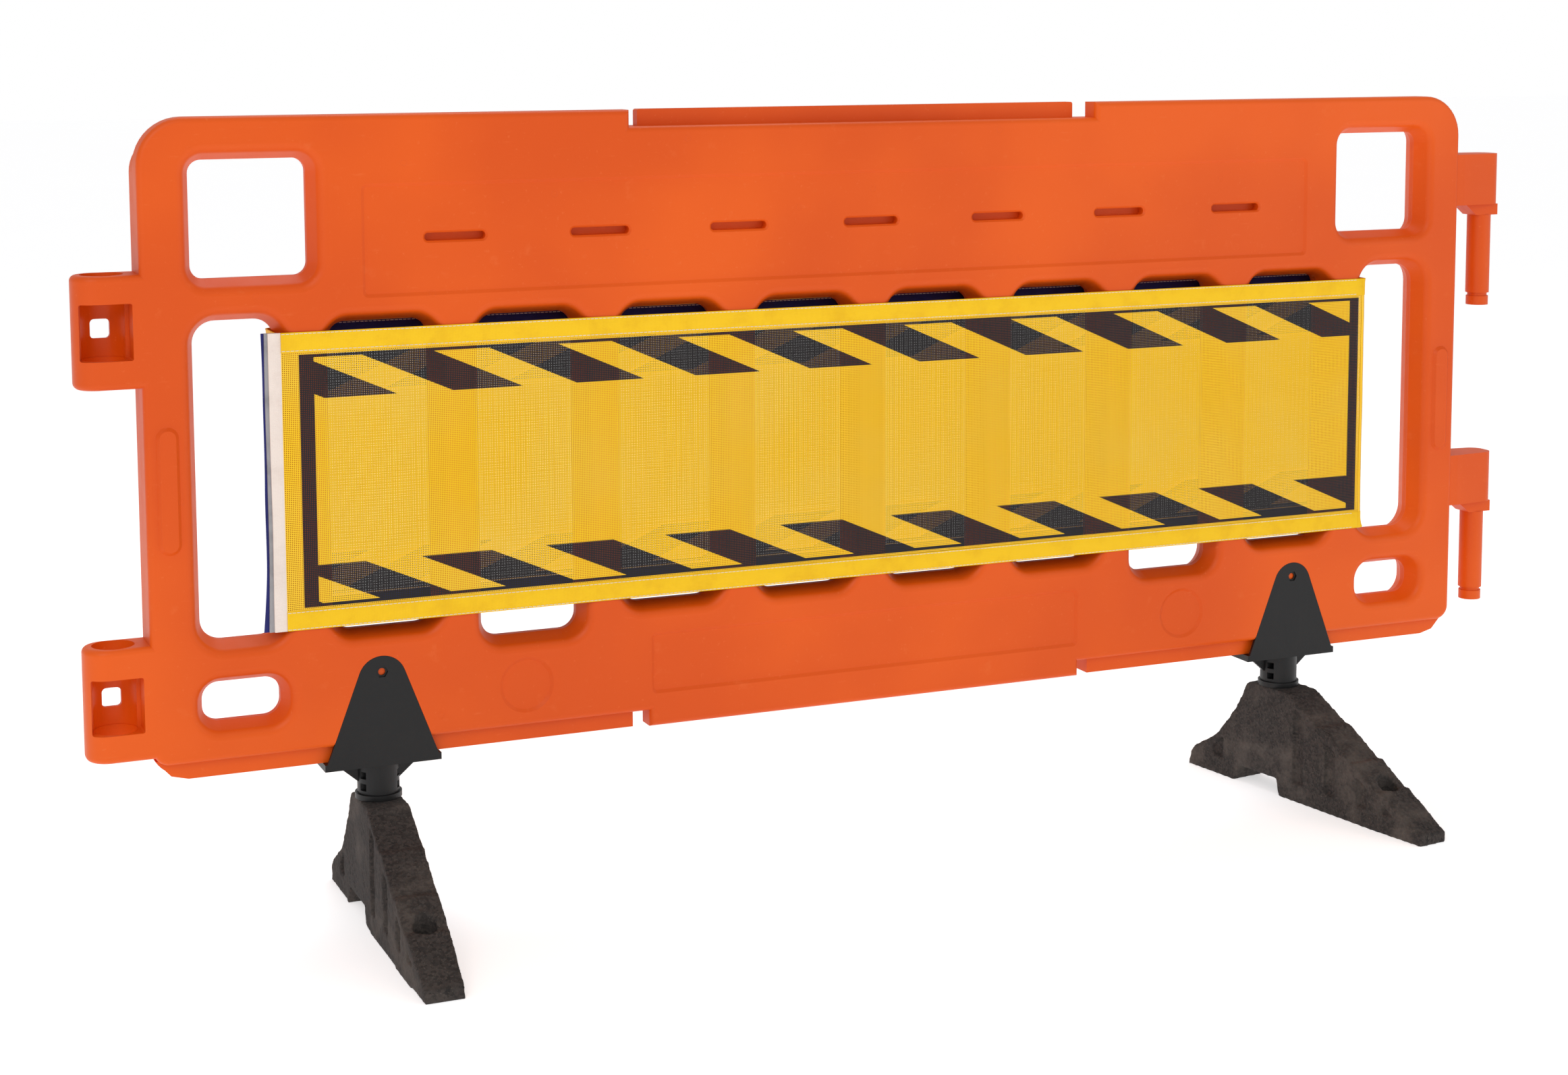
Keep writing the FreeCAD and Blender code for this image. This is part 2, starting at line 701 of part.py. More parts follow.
# Saddle bracket about its own post: two plates joined by a floor, gussets, a windowed post, a collar and
# the spigot that the foot turns on
def foot_bracket(end):
    body = new_body(f"foot_bracket_{end}")
    base, half = size("bracket_bottom"), size("bracket_width") / 2
    _, apex, radius = bracket_corners(ZERO)
    plate = new_sketch(body, "XZ_Plane", half_depth - size("bracket_plate"))
    outline(plate, [(-half, base), (half, base), (ZERO, base + apex, radius)])
    floor = new_sketch(body, "XY_Plane", base)
    outline(floor, [(-half, -half_depth), (half, -half_depth), (half, half_depth), (-half, half_depth)])
    extrude(body, "Pad", floor, size("bracket_floor"))
    front = extrude(body, "Pad", plate, size("bracket_plate"))
    mirror(body, [front], "XZ_Plane")

    gusset, narrow = new_sketch(body, "XZ_Plane"), size("gusset_foot")
    wide, low = size("gusset_half_width"), base - size("gusset_drop")
    outline(gusset, [
        (-wide, base), (-narrow, low), (narrow, low), (wide, base), (ZERO, base + size("gusset_notch"))])
    extrude(body, "Pad", gusset, size("gusset_thickness"), both=True)

    collar_bottom = size("foot_height") + size("foot_gap")
    post = new_sketch(body, "XY_Plane", collar_bottom)
    circle(post, ZERO, ZERO, size("post_radius"))
    extrude(body, "Pad", post, base - collar_bottom)
    collar = new_sketch(body, "XY_Plane", collar_bottom)
    circle(collar, ZERO, ZERO, size("collar_radius"))
    extrude(body, "Pad", collar, size("collar_height"))
    spigot = new_sketch(body, "XY_Plane", collar_bottom)
    circle(spigot, ZERO, ZERO, size("spigot_radius"))
    extrude(body, "Pad", spigot, size("spigot_length"), reverse=True)
    bead = new_sketch(body, "XY_Plane", collar_bottom - size("spigot_length") + size("bead_rise"))
    circle(bead, ZERO, ZERO, size("bead_radius"))
    extrude(body, "Pad", bead, size("bead_height"))
    hollow = new_sketch(body, "XY_Plane", collar_bottom - size("spigot_length"))
    circle(hollow, ZERO, ZERO, size("spigot_radius") - size("spigot_wall"))
    extrude(body, "Pocket", hollow, base - collar_bottom + size("spigot_length"), reverse=True)

    first = base - size("post_window_first") - size("post_window_height")
    near, far = size("post_window_inner"), size("post_window_inner") + size("post_window_width")
    past, slots = size("cut_past"), new_sketch(body, "YZ_Plane")
    for row in range(2):
        top = first - size("post_window_pitch") * row + size("post_window_height")
        for low_y, high_y in ((-far, -near), (near, far)):
            outline(slots, [
                (low_y, top - size("post_window_height")), (high_y, top - size("post_window_height")),
                (high_y, top), (low_y, top)])
    extrude(body, "Pocket", slots, (size("post_radius") + past) * 2, both=True)

    hole = new_sketch(body, "XZ_Plane")
    height = base + size("bracket_height") - size("bolt_drop")
    circle(hole, ZERO, height, size("bolt_hole_radius"))
    extrude(body, "Pocket", hole, size("panel_depth") + past * 2, both=True)
    recess = new_sketch(body, "XZ_Plane", half_depth)
    across = size("nut_recess_width") / root(as_size(3))
    outline(recess, [
        (across * math.cos(math.radians(60 * k)), height + across * math.sin(math.radians(60 * k)))
        for k in range(6)])
    extrude(body, "Pocket", recess, size("nut_recess_depth"))
    stand(body, size("bracket_offset") * ENDS[end])
    return body


# Rubber foot about its pivot, toe towards -Y: the sketch's x runs to the heel
def rubber_foot(end):
    body = new_body(f"rubber_foot_{end}")
    toe, heel, crown = size("toe_reach"), size("heel_reach"), size("foot_height")
    front, back = size("crown_front"), size("crown_back")
    fall = (crown - size("toe_height")) / (toe - front)

    def slope_at(out):
        return crown - (out - front) * fall

    side, run = new_sketch(body, "YZ_Plane"), size("scallop_run")
    scalloped = [(-toe, size("toe_height"), size("toe_round"))]
    for name in reversed(list(SCALLOPS)):
        out = front + size(f"scallop_end_{name}")
        scalloped.append((-out - run, slope_at(out + run) + size("scallop_rise"), size("scallop_round")))
        scalloped.append((-out, slope_at(out) - size("scallop_dip")))
    heel_curve = []
    for name in HEEL_CURVE:
        across = back + (heel - back) * size(f"heel_{name}_out")
        height = crown - (crown - size("heel_height")) * size(f"heel_{name}_down")
        heel_curve.append((across, height, size(f"heel_{name}_curve")))
    arch_back, arch_front, arch_top = size("arch_back"), -size("arch_front"), size("arch_height")
    outline(side, [
        (-toe - size("toe_rake"), ZERO), *scalloped,
        (-front, crown, size("crown_front_round")), (back, crown, size("crown_back_round")), *heel_curve,
        (heel - size("heel_rake"), size("heel_height") - size("heel_step"), size("heel_round")),
        (heel, ZERO), (arch_back, ZERO), (arch_back - size("arch_lean"), arch_top),
        (arch_front + size("arch_front_lean"), arch_top), (arch_front, ZERO)])
    extrude(body, "Pad", side, size("foot_width"), both=True)

    wedge, past = new_sketch(body, "XY_Plane", ZERO), size("cut_past")
    half, half_toe, start = size("foot_width") / 2, size("toe_width") / 2, -size("peg_offset")
    tip = -toe - size("toe_rake") - past
    outline(wedge, [(half, start), (half + past, start), (half + past, tip), (half_toe, tip)])
    trimmed = extrude(body, "Pocket", wedge, crown, reverse=True)

    panel = new_sketch(body, "YZ_Plane", half)
    half_pocket, low, land = size("pocket_width") / 2, size("pocket_bottom"), size("pocket_land")
    for name, from_pivot in POCKETS.items():
        out = size(f"pocket_place_{name}")
        if from_pivot < 0:
            rise, slant = low + size("heel_pocket_rise"), size("heel_pocket_slant")
            outline(panel, [
                (-out - half_pocket, low), (-out + half_pocket, low), (-out + half_pocket, rise - slant),
                (-out - half_pocket, rise + slant)])
            continue
        near, far = slope_at(out - half_pocket) - land, slope_at(out + half_pocket) - land
        outline(panel, [
            (-out - half_pocket, low), (-out + half_pocket, low), (-out + half_pocket, near),
            (-out - half_pocket, far)])
    pressed = extrude(body, "Pocket", panel, size("pocket_depth"), taper=-size("pocket_angle"))
    mirror(body, [trimmed, pressed], "YZ_Plane")

    peg = new_sketch(body, "XY_Plane", ZERO)
    circle(peg, ZERO, -size("peg_offset"), size("peg_radius"))
    extrude(body, "Pocket", peg, crown, reverse=True)
    bottom = size("foot_height") - size("spigot_length") - size("bead_rise")
    socket = new_sketch(body, "XY_Plane", bottom)
    circle(socket, ZERO, ZERO, size("spigot_radius") + size("socket_gap"))
    extrude(body, "Pocket", socket, crown, reverse=True)
    bead_bottom = crown + size("foot_gap") - size("spigot_length") + size("bead_rise")
    groove = new_sketch(body, "XY_Plane", bead_bottom - size("bead_gap"))
    circle(groove, ZERO, ZERO, size("bead_radius") + size("bead_gap"))
    extrude(body, "Pocket", groove, size("bead_height") + size("bead_gap") * 2, reverse=True)
    stand(body, size("bracket_offset") * ENDS[end], size(f"{end}_foot_turn"))
    return body


def plain_box(label, low, high):
    thing = document.addObject("Part::Box", label)
    for name, axis, start, stop in zip(("Length", "Width", "Height"), "xyz", low, high):
        bind(thing, name, stop - start)
        bind(thing, f"Placement.Base.{axis}", start if axis != "y" else start + front_plane)
    return thing


# The cover: mesh sheets front and back, hem tapes, a fold at each end post and the closure strips
def cover():
    left, right = -size("cover_left"), size("cover_right")
    low, high, hem = size("cover_bottom"), size("cover_top"), size("hem_width")
    near = half_depth + size("cover_gap")
    mesh, tape = near + size("mesh_thickness"), near + size("hem_thickness")
    sheets = {"front": (-mesh, -near), "back": (near, mesh)}
    tapes = {"front": (-tape, -near), "back": (near, tape)}
    starts = {"front": left, "back": left - size("strip_step")}
    for face, (y_low, y_high) in sheets.items():
        yield plain_box(
            f"cover_{face}_mesh", (starts[face], y_low, low + hem), (right, y_high, high - hem))
    for face, (y_low, y_high) in tapes.items():
        yield plain_box(f"cover_{face}_hem_top", (starts[face], y_low, high - hem), (right, y_high, high))
        yield plain_box(f"cover_{face}_hem_bottom", (starts[face], y_low, low), (right, y_high, low + hem))
    thin = size("mesh_thickness")
    yield plain_box("cover_right_fold", (right, -mesh, low + hem), (right + thin, mesh, high - hem))

    strip, step, lap = size("strip_thickness"), size("strip_step"), size("strip_width")
    loop_back = -near - size("mesh_thickness") + strip
    hook_back = loop_back + strip
    edge_back = hook_back + size("binding_thickness")
    yield plain_box("cover_loop_strip", (left - lap, -mesh, low), (left, loop_back, high))
    yield plain_box("cover_hook_strip", (left - lap - step, loop_back, low), (left - step, hook_back, high))
    yield plain_box(
        "cover_edge_binding", (left - lap - step * 2, hook_back, low), (left - step, edge_back, high))
    yield plain_box(
        "cover_left_fold", (left - step - thin, edge_back, low + hem), (left - step, mesh, high - hem))


pieces = [barrier_panel()]
for end in ENDS:
    pieces.append(foot_bracket(end))
    pieces.append(rubber_foot(end))
pieces.extend(cover())
for piece in pieces:
    piece.Label = piece.Name
document.recompute()

for thing in document.Objects:
    if {"Invalid", "Error"} & set(thing.State):
        raise RuntimeError(f"{thing.Name} failed: {thing.State}")
os.makedirs("parts", exist_ok=True)
for piece in pieces:
    if piece.Shape.isNull() or not piece.Shape.isValid():
        raise RuntimeError(f"{piece.Label} has no valid shape")
for piece in pieces:
    piece.Shape.exportStep(os.path.join("parts", f"{piece.Label}.step"))
    box = piece.Shape.BoundBox
    print(f"{piece.Label:24s} {len(piece.Shape.Solids)} solid {piece.Shape.Volume / 1e3:9.1f} cm3 "
          f"X {box.XMin:7.1f} {box.XMax:7.1f} Y {box.YMin:7.1f} {box.YMax:7.1f} "
          f"Z {box.ZMin:6.1f} {box.ZMax:6.1f}")
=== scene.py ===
import bmesh
import bpy
import math
from mathutils import Matrix, Vector, noise


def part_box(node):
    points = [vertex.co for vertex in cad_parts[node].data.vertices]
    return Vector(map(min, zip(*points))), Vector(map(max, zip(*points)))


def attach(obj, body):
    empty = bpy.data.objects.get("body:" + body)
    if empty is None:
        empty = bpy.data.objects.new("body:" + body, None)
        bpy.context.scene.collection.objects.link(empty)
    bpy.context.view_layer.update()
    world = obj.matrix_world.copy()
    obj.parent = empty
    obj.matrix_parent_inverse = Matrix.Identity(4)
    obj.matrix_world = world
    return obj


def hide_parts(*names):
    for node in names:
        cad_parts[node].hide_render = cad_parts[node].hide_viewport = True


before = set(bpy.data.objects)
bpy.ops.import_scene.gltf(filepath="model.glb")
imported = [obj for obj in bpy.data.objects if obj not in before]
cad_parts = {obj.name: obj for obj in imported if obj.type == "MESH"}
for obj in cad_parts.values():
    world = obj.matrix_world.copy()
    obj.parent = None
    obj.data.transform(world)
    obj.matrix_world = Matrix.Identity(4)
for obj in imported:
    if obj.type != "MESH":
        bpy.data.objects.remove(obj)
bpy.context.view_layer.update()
print("frame loaded")

scene = bpy.context.scene
scene.view_settings.view_transform = "Standard"  # keeps the orange and the yellow as strong as they are


# Camera and light
camera = {
    "place": (-1.4239, -2.9543, 1.098),
    "yaw": 23.407,    # degrees to the right of straight ahead
    "down": 6.101,
    "roll": -0.204,
    "lens": 58.397,
    "shift": -0.15,
}

lamps = {
    "key": {"place": (-2.6, -3.4, 3.4), "aim": (0, 0, 0.5), "size": 2.6, "power": 62},
    "fill": {"place": (3.4, -3.0, 1.8), "aim": (0.2, 0, 0.5), "size": 2.4, "power": 20},
    "top": {"place": (0.3, 1.6, 3.6), "aim": (0, 0.1, 0.6), "size": 2.2, "power": 26},
}

room = {
    "floor": (240, 240, 241),
    "floorPale": (250, 250, 250),
    "floorSize": 60,
    "floorGlow": 0.48,
    "backdrop": 1.0,
    "skyStrength": 0.58,
}


def colour(red, green, blue):
    linear = [c / 255 / 12.92 if c <= 10 else ((c / 255 + 0.055) / 1.055) ** 2.4 for c in (red, green, blue)]
    return (*linear, 1)


def makeCamera():
    data = bpy.data.cameras.new("camera")
    data.lens, data.shift_y, data.sensor_width = camera["lens"], camera["shift"], 36
    eye = bpy.data.objects.new("camera", data)
    scene.collection.objects.link(eye)
    yaw, down, roll = (math.radians(camera[k]) for k in ("yaw", "down", "roll"))
    turn = Matrix.Rotation(-yaw, 4, "Z") @ Matrix.Rotation(math.pi / 2 - down, 4, "X")
    eye.matrix_world = Matrix.Translation(camera["place"]) @ turn @ Matrix.Rotation(roll, 4, "Z")
    scene.camera = eye


def makeLamps():
    for name, lamp in lamps.items():
        data = bpy.data.lights.new(name, "AREA")
        data.shape, data.size, data.energy = "SQUARE", lamp["size"], lamp["power"]
        light = bpy.data.objects.new(name, data)
        scene.collection.objects.link(light)
        light.location = lamp["place"]
        aim = Vector(lamp["aim"]) - Vector(lamp["place"])
        light.rotation_euler = aim.to_track_quat("-Z", "Y").to_euler()


makeCamera()
makeLamps()
print("camera and lamps placed")


class Port:  # a socket that Python arithmetic works on
    def __init__(self, finish, socket):
        self.finish, self.socket = finish, socket

    def work(self, operation, *others, first=None):
        values = [self if first is None else first, *others]
        if first is not None:
            values.append(self)
        return self.finish.add("ShaderNodeMath", {"operation": operation}, values)

    def __add__(self, other):
        return self.work("ADD", other)

    def __sub__(self, other):
        return self.work("SUBTRACT", other)

    def __rsub__(self, other):
        return self.work("SUBTRACT", first=other)

    def __mul__(self, other):
        return self.work("MULTIPLY", other)

    def __truediv__(self, other):
        return self.work("DIVIDE", other)

    def __lt__(self, other):
        return self.work("LESS_THAN", other)

    def __gt__(self, other):
        return self.work("GREATER_THAN", other)

    def __abs__(self):
        return self.work("ABSOLUTE")

    def __or__(self, other):
        return self.work("MAXIMUM", other)

    def __and__(self, other):
        return self.work("MINIMUM", other)

    def fraction(self):
        return self.work("FRACT")

    def near(self, centre, half):  # 1 within half of centre, 0 elsewhere
        return abs(self - centre) < half

    __radd__ = __add__
    __rmul__ = __mul__


class Nodes:  # a node tree and the one way that nodes get into it
    def __init__(self, tree):
        self.tree = tree

    def add(self, kind, settings=None, inputs=(), output=0):
        node = self.tree.nodes.new(kind)
        for name, value in (settings or {}).items():
            setattr(node, name, value)
        pairs = inputs.items() if isinstance(inputs, dict) else enumerate(inputs)
        for key, value in pairs:
            self.join(value, node.inputs[key])
        return Port(self, node.outputs[output])

    def join(self, value, socket):
        if isinstance(value, Port):
            self.tree.links.new(value.socket, socket)
        else:
            socket.default_value = value


class Finish(Nodes):  # a material and the patterns that make it
    def __init__(self, name, **constants):
        self.material = bpy.data.materials.new(name)
        self.material.use_nodes = True
        super().__init__(self.material.node_tree)
        self.shader = self.tree.nodes["Principled BSDF"]
        for socket, value in constants.items():
            self.shader.inputs[socket.replace("_", " ")].default_value = value

    def feed(self, **values):
        for socket, value in values.items():
            self.join(value, self.shader.inputs[socket.replace("_", " ")])

    def place(self):
        return self.add("ShaderNodeTexCoord", output=3)

    def axes(self, place):
        return [self.add("ShaderNodeSeparateXYZ", None, [place], output=i) for i in range(3)]

    def vector(self, *parts):
        return self.add("ShaderNodeCombineXYZ", None, parts)

    def grain(self, place, scale, detail=2.0, roughness=0.5):
        settings = {"noise_dimensions": "3D"}
        inputs = {"Vector": place, "Scale": scale, "Detail": detail, "Roughness": roughness}
        return self.add("ShaderNodeTexNoise", settings, inputs)

    def step(self, value, low, high):  # 0 below low, 1 above high
        settings = {"interpolation_type": "SMOOTHSTEP"}
        return self.add("ShaderNodeMapRange", settings, [value, low, high, 0.0, 1.0])

    def mix(self, share, first, second):
        return self.add("ShaderNodeMix", {"data_type": "RGBA"}, {0: share, 6: first, 7: second}, output=2)

    def bump(self, height, distance, strength=1.0, under=None):
        inputs = {"Strength": strength, "Distance": distance, "Height": height}
        if under is not None:
            inputs["Normal"] = under
        return self.add("ShaderNodeBump", None, inputs)


def makeWorld():  # a white backdrop to look at, and a dimmer sky to light the object
    world = bpy.data.worlds.new("studio")
    scene.world = world
    world.use_nodes = True
    nodes = Nodes(world.node_tree)
    white = (1, 1, 1, 1)
    sky = nodes.add("ShaderNodeBackground", None, {"Color": white, "Strength": room["skyStrength"]})
    backdrop = nodes.add("ShaderNodeBackground", None, {"Color": white, "Strength": room["backdrop"]})
    straight = nodes.add("ShaderNodeLightPath")
    both = nodes.add("ShaderNodeMixShader", None, [straight, sky, backdrop])
    nodes.join(both, world.node_tree.nodes["World Output"].inputs["Surface"])


makeWorld()


# Finishes of the moulded parts
orangeLook = {
    "body": (228, 90, 6),
    "deep": (214, 78, 0),
    "worn": (232, 122, 66),
    "roughness": 0.44,
    "partingPlane": 0.073,
    "partingWidth": 0.0006,
    "pinMarkSpacing": 0.17,
    "pinMarkRadius": 0.0038,
    "cloudScale": 2.6,
    "mottleScale": 38.0,
    "speckScale": 210.0,
    "scratchStretch": (9.0, 20.0, 70.0),
    "waveScale": 9.0,
    "grainScale": 620.0,
}


def orangePlastic():
    finish = Finish("orangePlastic", Specular_IOR_Level=0.3)
    place = finish.place()
    x, y, z = finish.axes(place)
    cloud = finish.grain(place, orangeLook["cloudScale"], 3.0)
    mottle = finish.grain(place, orangeLook["mottleScale"], 4.0, 0.62)
    body, deep, worn = (colour(*orangeLook[part]) for part in ("body", "deep", "worn"))
    shade = finish.mix(finish.step(cloud, 0.35, 0.68), deep, body)
    specks = finish.step(finish.grain(place, orangeLook["speckScale"], 3.0), 0.66, 0.74)
    along, through, up = orangeLook["scratchStretch"]
    rubbed = finish.vector(x * along, y * through, z * up)
    scratches = finish.step(finish.grain(rubbed, 3.0, 5.0, 0.7), 0.63, 0.74)
    wear = (specks * 0.22 + scratches * 0.2) | (finish.step(mottle, 0.62, 0.8) * 0.18)
    shade = finish.mix(wear, shade, worn)
    flat = finish.vector(x, z, 0.0)
    marks = {"voronoi_dimensions": "2D", "feature": "F1"}
    spacing = orangeLook["pinMarkSpacing"]
    cells = {"Vector": flat, "Scale": 1 / spacing, "Randomness": 0.85}
    reach = finish.add("ShaderNodeTexVoronoi", marks, cells)
    ring = 1 - finish.step(abs(reach * spacing - orangeLook["pinMarkRadius"]), 0.0002, 0.0007)
    seam = 1 - finish.step(abs(y - orangeLook["partingPlane"]), 0.0001, orangeLook["partingWidth"])
    skin = finish.bump(finish.grain(place, orangeLook["grainScale"], 2.0), 0.00012, 0.5)
    skin = finish.bump(finish.grain(place, orangeLook["waveScale"], 2.0), 0.004, 0.3, skin)
    skin = finish.bump(seam * 1.0 + ring * -0.4, 0.0005, 0.7, skin)
    gloss = mottle * 0.16 + wear * 0.25 + (orangeLook["roughness"] - 0.06)
    finish.feed(Base_Color=shade, Roughness=gloss, Normal=skin)
    return finish.material


blackLook = {
    "body": (14, 14, 15),
    "pale": (28, 27, 26),
    "roughness": 0.4,
    "cloudScale": 24.0,
    "drawnStretch": (160.0, 14.0),   # across and up the plates
    "dustScale": 340.0,
    "grainScale": 900.0,
}


def blackPlastic():
    finish = Finish("blackPlastic", Specular_IOR_Level=0.35)
    place = finish.place()
    x, y, z = finish.axes(place)
    cloud = finish.grain(place, blackLook["cloudScale"], 4.0, 0.6)
    across, up = blackLook["drawnStretch"]
    drawn = finish.grain(finish.vector(x * across, y * across, z * up), 1.0, 3.0)
    dust = finish.step(finish.grain(place, blackLook["dustScale"], 2.0), 0.66, 0.78) * 0.5
    body, pale = colour(*blackLook["body"]), colour(*blackLook["pale"])
    shade = finish.mix((finish.step(cloud, 0.45, 0.8) * 0.45) | dust, body, pale)
    skin = finish.bump(finish.grain(place, blackLook["grainScale"], 2.0), 0.0002, 0.5)
    skin = finish.bump(drawn, 0.0004, 0.25, skin)
    finish.feed(Base_Color=shade, Roughness=cloud * 0.2 + (blackLook["roughness"] - 0.06), Normal=skin)
    return finish.material


rubberLook = {
    "crumb": (66, 60, 57),
    "dark": (38, 35, 34),
    "dust": (104, 95, 88),
    "crumbSize": 0.0032,
    "filmScale": 14.0,
    "speckScale": 520.0,
    "pitScale": 260.0,
}


def recycledRubber():
    finish = Finish("recycledRubber", Specular_IOR_Level=0.25)
    place = finish.place()
    scale = 1 / rubberLook["crumbSize"]
    cells = {"feature": "F1"}
    crumb = finish.add("ShaderNodeTexVoronoi", cells, {"Vector": place, "Scale": scale}, output=1)
    gap = finish.add("ShaderNodeTexVoronoi", cells, {"Vector": place, "Scale": scale})
    pick = finish.axes(crumb)[0]
    shade = finish.mix(pick, colour(*rubberLook["dark"]), colour(*rubberLook["crumb"]))
    film = finish.step(finish.grain(place, rubberLook["filmScale"], 5.0, 0.65), 0.44, 0.74) * 0.5
    specks = finish.step(finish.grain(place, rubberLook["speckScale"], 2.0), 0.64, 0.72) * 0.55
    shade = finish.mix(film | specks, shade, colour(*rubberLook["dust"]))
    skin = finish.bump(gap, 0.0009, 0.6)
    skin = finish.bump(finish.grain(place, rubberLook["pitScale"], 4.0, 0.7), 0.0012, 0.6, skin)
    finish.feed(Base_Color=shade, Roughness=pick * 0.12 + 0.8, Normal=skin)
    return finish.material


# Finishes of the cover
meshLook = {
    "yellow": (250, 196, 2),
    "pale": (240, 216, 112),
    "black": (24, 20, 21),
    "pitch": 0.0023,        # from one hole of the weave to the next
    "hole": 0.25,           # half of a hole's side, as a share of the pitch
    "backPitch": 0.0014,
    "backHole": 0.2,
    "cloudScale": 7.0,
}

printing = {
    "stripePitch": 0.1595,
    "stripeShare": 0.56,
    "stripeLean": 2.26,
    "topStart": -0.569,
    "bottomStart": -0.453,
    "topBand": (0.661, 0.711),
    "bottomBand": (0.411, 0.458),
    "edgeLines": (0.713, 0.409),
    "edgeLineHalf": 0.002,
    "leftUpright": (-0.750, 0.009),
    "rightUpright": (0.7615, 0.0075),
}


def blackPrint(finish, x, z):
    left, right = printing["leftUpright"], printing["rightUpright"]
    low, high = printing["edgeLines"][1], printing["edgeLines"][0]
    between = (x > left[0]) & (x < right[0])
    tall = (z > low - printing["edgeLineHalf"]) & (z < high + printing["edgeLineHalf"])
    black = (x.near(*left) | x.near(*right)) & tall
    for line in printing["edgeLines"]:
        black = black | (z.near(line, printing["edgeLineHalf"]) & between)
    for band, start, inner in (("topBand", "topStart", 0), ("bottomBand", "bottomStart", 1)):
        bottom, top = printing[band]
        slant = x + (z - printing[band][inner]) * printing["stripeLean"] - printing[start]
        stripe = (slant / printing["stripePitch"]).fraction() < printing["stripeShare"]
        black = black | (stripe & between & (z > bottom) & (z < top))
    return black


def wovenMesh(name, along="x", facing=1, printed=True, weave=("pitch", "hole")):
    finish = Finish(name, Specular_IOR_Level=0.4)
    place = finish.place()
    x, y, z = finish.axes(place)
    pitch, half = (meshLook[part] for part in weave)
    warp = (x if along == "x" else y) / pitch
    weft = z / pitch
    across, up = abs(warp.fraction() - 0.5), abs(weft.fraction() - 0.5)
    hole = (across < half) & (up < half)
    shade = colour(*meshLook["yellow" if printed else "pale"])
    cloud = finish.grain(place, meshLook["cloudScale"], 3.0)
    shade = finish.mix(finish.step(cloud, 0.3, 0.75) * 0.16, shade, colour(*meshLook["pale"]))
    if printed:
        shade = finish.mix(blackPrint(finish, x * facing, z), shade, colour(*meshLook["black"]))
    yarn = finish.bump((0.5 - across) + (0.5 - up), 0.0004, 0.35)
    finish.feed(Base_Color=shade, Roughness=cloud * 0.2 + 0.42, Alpha=1 - hole, Normal=yarn)
    return finish.material


tapeLooks = {
    "yellowTape": {"body": (248, 200, 6), "shade": (226, 170, 0), "rib": 0.0011, "roughness": 0.55},
    "navyTape": {"body": (34, 38, 112), "shade": (20, 22, 70), "rib": 0.0011, "roughness": 0.6},
    "creamStrip": {"body": (238, 224, 214), "shade": (214, 196, 186), "rib": 0.0016, "roughness": 0.85},
    "greyStrip": {"body": (168, 166, 168), "shade": (104, 102, 106), "rib": 0.0008, "roughness": 0.8},
    "whiteThread": {"body": (240, 238, 230), "shade": (206, 202, 192), "rib": 0.0007, "roughness": 0.7},
}


def wovenTape(name):
    look = tapeLooks[name]
    finish = Finish(name, Specular_IOR_Level=0.3)
    place = finish.place()
    x, y, z = finish.axes(place)
    upright = "Strip" in name
    ribs = abs(((z if upright else x) / look["rib"]).fraction() - 0.5) * 2.0
    threads = abs(((x if upright else z) / (look["rib"] * 1.3)).fraction() - 0.5) * 2.0
    cloud = finish.grain(place, 30.0, 4.0, 0.6)
    share = finish.step(cloud, 0.42, 0.75) * 0.4 + ribs * 0.28
    weave = finish.bump(ribs + threads * 0.5, 0.0003, 0.6)
    weave = finish.bump(finish.grain(place, 700.0, 3.0), 0.0003, 0.4, weave)
    finish.feed(
        Base_Color=finish.mix(share, colour(*look["body"]), colour(*look["shade"])),
        Roughness=cloud * 0.15 + look["roughness"] - 0.07, Normal=weave)
    return finish.material


looks = {
    "orange_plastic": orangePlastic(),
    "black_plastic": blackPlastic(),
    "recycled_rubber": recycledRubber(),
    "yellow_mesh": wovenMesh("printedMeshFront"),
    "printedBack": wovenMesh("printedMeshBack", facing=-1, weave=("backPitch", "backHole")),
    "paleFront": wovenMesh("paleMeshFront", printed=False),
    "pale_mesh": wovenMesh("paleMesh", printed=False, weave=("backPitch", "backHole")),
    "foldMesh": wovenMesh("foldMesh", along="y", printed=False),
    "foldMeshOuter": wovenMesh("foldMeshOuter", along="y"),
    "yellow_tape": wovenTape("yellowTape"),
    "navy_tape": wovenTape("navyTape"),
    "white_strip": wovenTape("creamStrip"),
    "grey_strip": wovenTape("greyStrip"),
    "thread": wovenTape("whiteThread"),
}
print("finishes made")


def pickNothing():
    if bpy.context.object and bpy.context.object.mode != "OBJECT":
        bpy.ops.object.mode_set(mode="OBJECT")
    bpy.ops.object.select_all(action="DESELECT")


def pick(piece):
    pickNothing()
    piece.select_set(True)
    bpy.context.view_layer.objects.active = piece
    return piece


def settle(piece, name):  # place, turn and size go into the mesh
    piece.name = piece.data.name = name
    pick(piece)
    bpy.ops.object.transform_apply(location=True, rotation=True, scale=True)
    return piece


def choose(piece, kind, wanted):  # enters edit mode with the wanted vertices, edges or faces selected
    pick(piece)
    bpy.ops.object.mode_set(mode="EDIT")
    bpy.ops.mesh.select_mode(type=kind)
    bpy.ops.mesh.select_all(action="DESELECT")
    shell = bmesh.from_edit_mesh(piece.data)
    for part in {"VERT": shell.verts, "EDGE": shell.edges, "FACE": shell.faces}[kind]:
        if wanted(part):
            part.select_set(True)
    bmesh.update_edit_mesh(piece.data)


def modify(piece, kind, **settings):
    pick(piece)
    modifier = piece.modifiers.new(kind.lower(), kind)
    for name, value in settings.items():
        setattr(modifier, name, value)
    bpy.ops.object.modifier_apply(modifier=modifier.name)


def block(name, low, high):
    pickNothing()
    low, high = Vector(low), Vector(high)
    bpy.ops.mesh.primitive_cube_add(size=1, location=(low + high) / 2)
    piece = bpy.context.object
    piece.scale = high - low
    return settle(piece, name)


